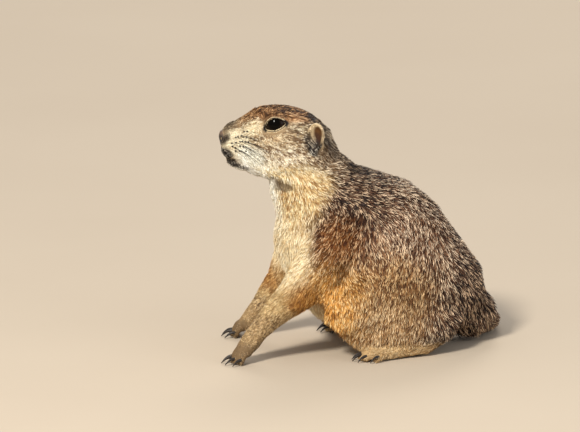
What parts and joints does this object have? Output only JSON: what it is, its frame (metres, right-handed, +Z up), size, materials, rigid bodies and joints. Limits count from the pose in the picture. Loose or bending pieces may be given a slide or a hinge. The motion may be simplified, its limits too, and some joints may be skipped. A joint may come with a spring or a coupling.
{
  "type": "prairie dog",
  "caption": "Life-size still model of a black-tailed prairie dog, hunched on its haunches with its forelegs planted ahead and its head raised and turned.",
  "frame": {"origin": "middle of the part's box in plan, at the level of the soles", "axes": "-X the way the animal faces, +X towards its rump, -Y its left side, +Z up"},
  "size_m": [0.199, 0.1114, 0.1593],
  "materials": {
    "head_coat": "short grizzled fur, red-brown crown, cream cheeks and muzzle",
    "neck_coat": "cream-yellow fur on the throat, dark grey-brown on the nape",
    "back_coat": "dark brown fur ticked with pale and black hairs",
    "flank_coat": "tan and golden fur, darker above",
    "leg_coat": "buff fur",
    "paw_coat": "very short buff fur with grey skin on the toes",
    "ear_coat": "short fur outside, bare warm brown skin and grey tufts inside",
    "tail_tip_coat": "black brush",
    "nose_skin": "bare dark skin with a fine grain, slightly moist",
    "eye": "wet black",
    "claw": "dark horn, satin",
    "lid_skin": "bare black skin at the lid margins",
    "whisker": "stiff black hair"
  },
  "bodies": {
    "root": {"claw_fore_left_1": "claw", "claw_fore_left_2": "claw", "claw_fore_left_3": "claw", "claw_fore_left_4": "claw", "claw_fore_right_1": "claw", "claw_fore_right_2": "claw", "claw_fore_right_3": "claw", "claw_fore_right_4": "claw", "claw_hind_left_1": "claw", "claw_hind_left_2": "claw", "claw_hind_left_3": "claw", "claw_hind_left_4": "claw", "claw_hind_left_5": "claw", "claw_hind_right_1": "claw", "claw_hind_right_2": "claw", "claw_hind_right_3": "claw", "claw_hind_right_4": "claw", "claw_hind_right_5": "claw", "ear_left": "ear_coat", "ear_right": "ear_coat", "eye_left": "eye", "eye_right": "eye", "foreleg_left": "leg_coat", "foreleg_right": "leg_coat", "forepaw_left": "paw_coat", "forepaw_right": "paw_coat", "haunch_left": "flank_coat", "haunch_right": "flank_coat", "head": "head_coat", "hindfoot_left": "paw_coat", "hindfoot_right": "paw_coat", "neck": "neck_coat", "nose": "nose_skin", "tail": "back_coat", "tail_tip": "tail_tip_coat", "torso": "back_coat"}
  },
  "joints": []
}
